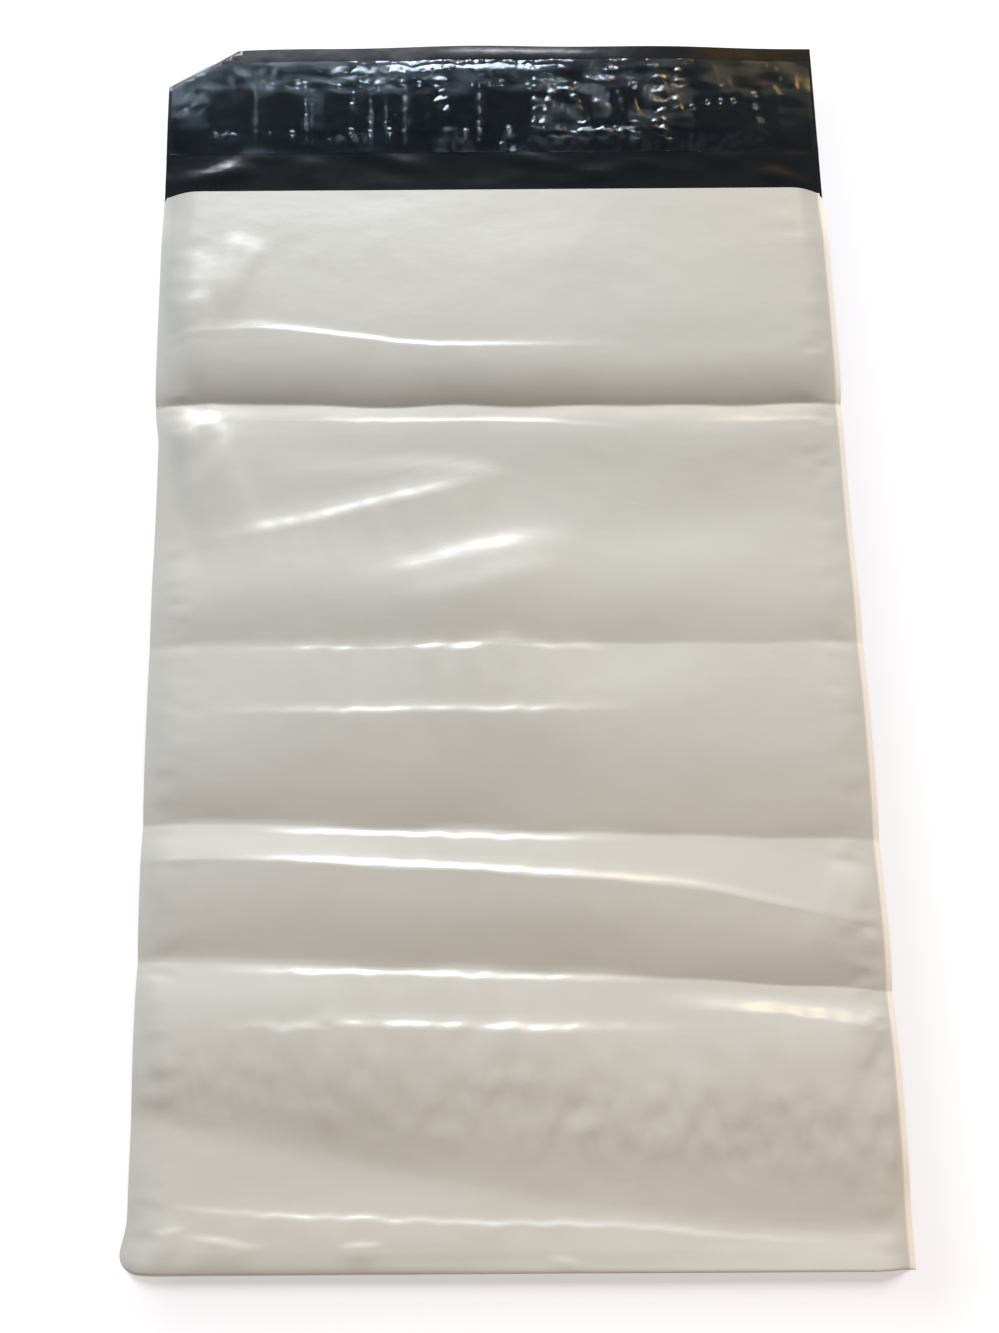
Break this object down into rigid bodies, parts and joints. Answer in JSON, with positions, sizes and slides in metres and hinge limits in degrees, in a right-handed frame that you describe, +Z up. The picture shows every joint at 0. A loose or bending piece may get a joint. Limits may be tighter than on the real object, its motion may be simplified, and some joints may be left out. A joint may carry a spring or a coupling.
{
  "type": "poly mailer bag",
  "caption": "Flat empty film mailer bag, white outside and black inside, with an open flap that carries adhesive under a clear liner.",
  "frame": {"origin": "on the table under the middle of the bag", "axes": "+X across the bag, +Y from the bottom fold towards the flap, +Z up from the table"},
  "size_m": [0.2004, 0.3501, 0.0049],
  "materials": {
    "outer_film": "glossy white co-extruded polythene film, black on its inner face",
    "adhesive": "tacky hot-melt adhesive",
    "liner": "clear silicone-coated release liner"
  },
  "bodies": {
    "root": {"bag_film": "outer_film", "adhesive_strip": "adhesive", "release_liner": "liner"}
  },
  "joints": []
}
